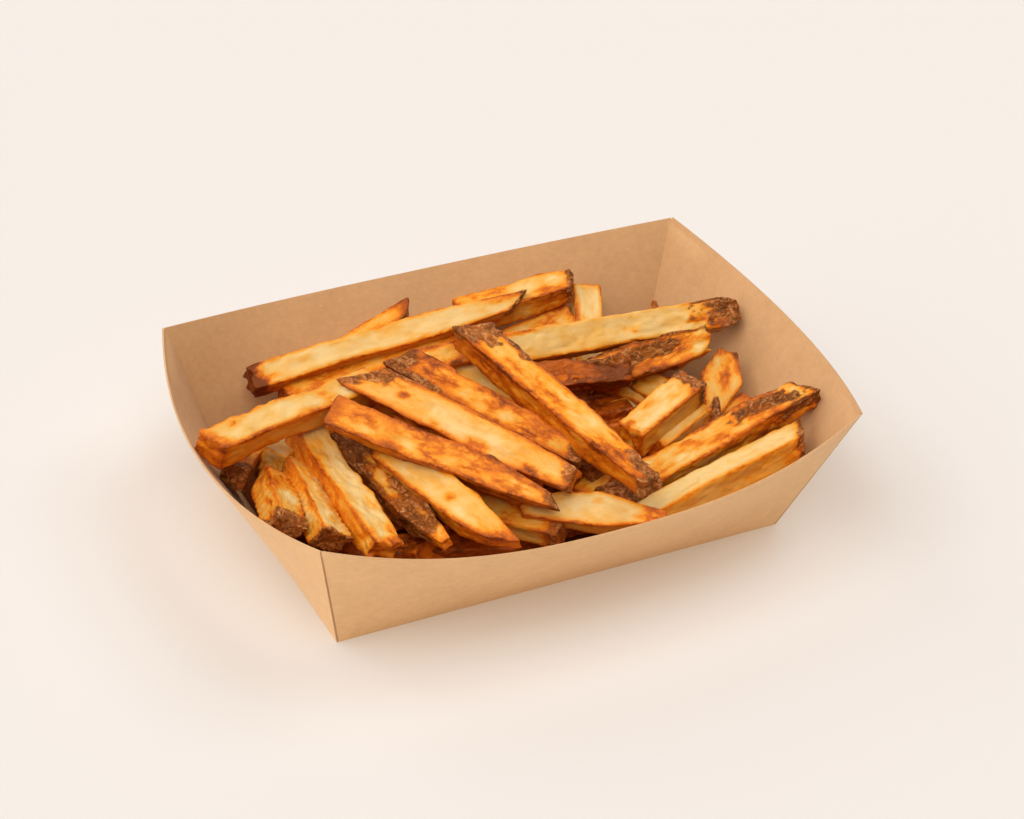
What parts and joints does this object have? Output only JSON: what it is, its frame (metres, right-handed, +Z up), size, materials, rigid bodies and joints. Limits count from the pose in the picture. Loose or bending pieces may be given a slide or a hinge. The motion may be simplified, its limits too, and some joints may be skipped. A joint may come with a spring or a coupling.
{
  "type": "french fries in a carton",
  "caption": "Hand-cut, skin-on french fries heaped in an open kraft paper food tray with four sloping walls and pointed corners.",
  "frame": {"origin": "middle of the tray's flat underside", "axes": "+X along the tray's length, +Y towards its back wall, +Z up"},
  "size_m": [0.183, 0.1284, 0.0468],
  "materials": {
    "carton": "matte",
    "fries": "satin"
  },
  "bodies": {
    "root": {"carton": "carton", "fries": "fries"}
  },
  "joints": []
}
